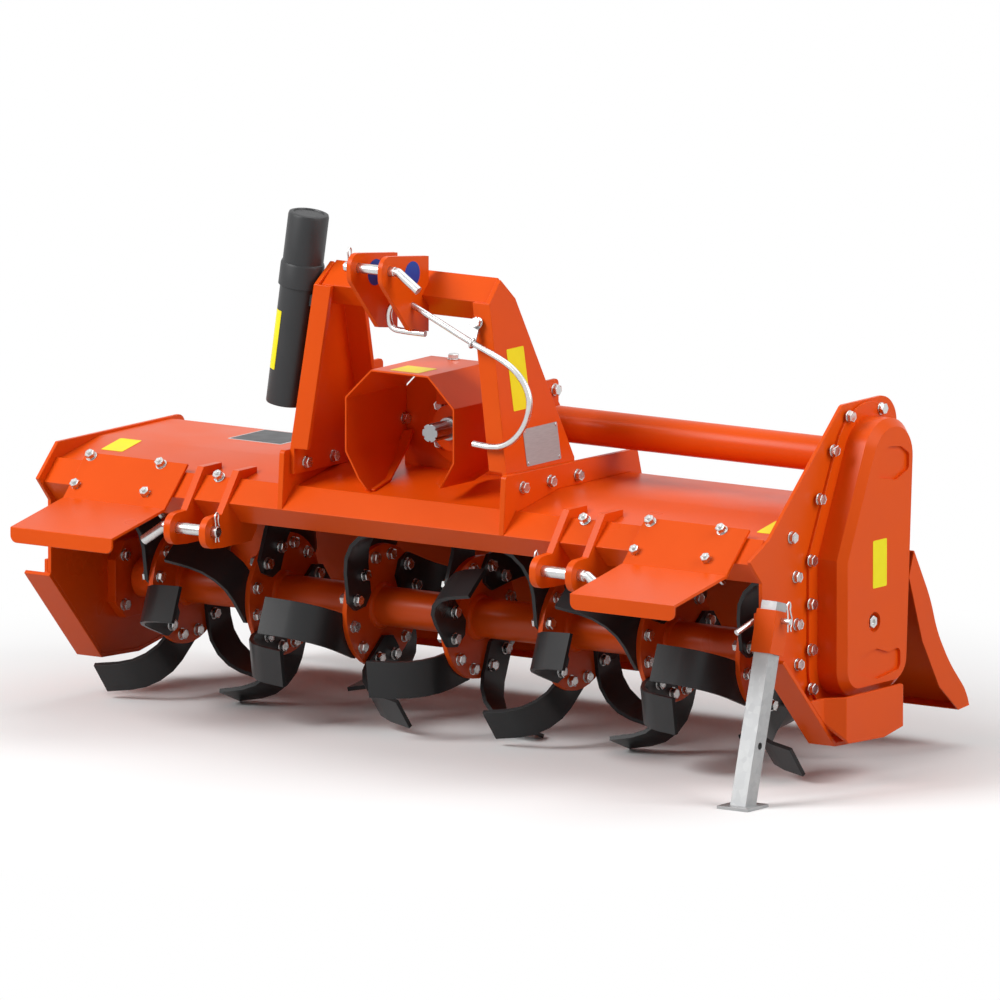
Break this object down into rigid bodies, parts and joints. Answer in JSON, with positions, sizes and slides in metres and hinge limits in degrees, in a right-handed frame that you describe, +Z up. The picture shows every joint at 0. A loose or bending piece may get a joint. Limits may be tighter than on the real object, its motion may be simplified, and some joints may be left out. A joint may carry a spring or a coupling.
{
  "type": "rotary tiller",
  "caption": "Tractor-mounted rotary tiller with a three-point hitch, guarded PTO input, side drive case, flanged rotor of bent tines, hinged tailboard and parking stand.",
  "frame": {"origin": "on the floor under the middle of the machine's bounding box, as it stands parked", "axes": "+Z up, +X along the machine's width towards the side drive case, -Y towards the tractor"},
  "size_m": [1.785, 0.925, 1.0162],
  "materials": {
    "orange_paint": "gloss enamel paint",
    "black_paint": "satin black paint",
    "zinc_steel": "zinc plated",
    "bright_steel": "machined",
    "black_plastic": "moulded"
  },
  "bodies": {
    "frame": {"front_beam": "orange_paint", "hood": "orange_paint", "left_end_plate": "orange_paint", "right_end_plate": "orange_paint", "left_bearing": "orange_paint", "right_bearing": "orange_paint", "tailboard_hinge": "zinc_steel", "gearbox": "orange_paint", "drive_tube": "orange_paint", "side_drive_case": "orange_paint", "pto_guard": "orange_paint", "mast_left": "orange_paint", "mast_right": "orange_paint", "mast_crossbar": "orange_paint", "foot_plate_left": "orange_paint", "foot_plate_right": "orange_paint", "top_link_bracket": "orange_paint", "top_link_pin": "zinc_steel", "lower_bracket_left": "orange_paint", "lower_bracket_right": "orange_paint", "hitch_pin_left": "zinc_steel", "hitch_pin_right": "zinc_steel", "driveline_hook": "zinc_steel", "front_guard_left": "orange_paint", "front_guard_right": "orange_paint", "guard_clamps": "zinc_steel", "left_skid": "orange_paint", "right_skid": "orange_paint", "stand_sleeve": "orange_paint", "canister": "black_plastic"},
    "rotor": {"rotor": "black_paint"},
    "pto_shaft": {"input_shaft": "bright_steel"},
    "tailboard": {"tailboard": "orange_paint"},
    "stand": {"stand_leg": "zinc_steel"}
  },
  "joints": [
    {"name": "rotor_spin", "type": "hinge", "parent": "frame", "child": "rotor", "pos_m": [-0.0265, 0.0215, 0.22656], "axis": [1, 0, 0], "continuous": true},
    {"name": "pto_spin", "type": "hinge", "parent": "frame", "child": "pto_shaft", "pos_m": [-0.0265, -0.1285, 0.59956], "axis": [0, -1, 0], "continuous": true},
    {"name": "tailboard_lift", "type": "hinge", "parent": "frame", "child": "tailboard", "pos_m": [-0.0265, 0.2615, 0.41656], "axis": [1, 0, 0], "range_deg": [0, 50]},
    {"name": "stand_slide", "type": "slide", "parent": "frame", "child": "stand", "axis": [0, 0.2672, 0.9636], "range_m": [0, 0.25]}
  ],
  "couplings": [
    {"joint": "pto_spin", "follows": "rotor_spin", "ratio": 2.57}
  ]
}
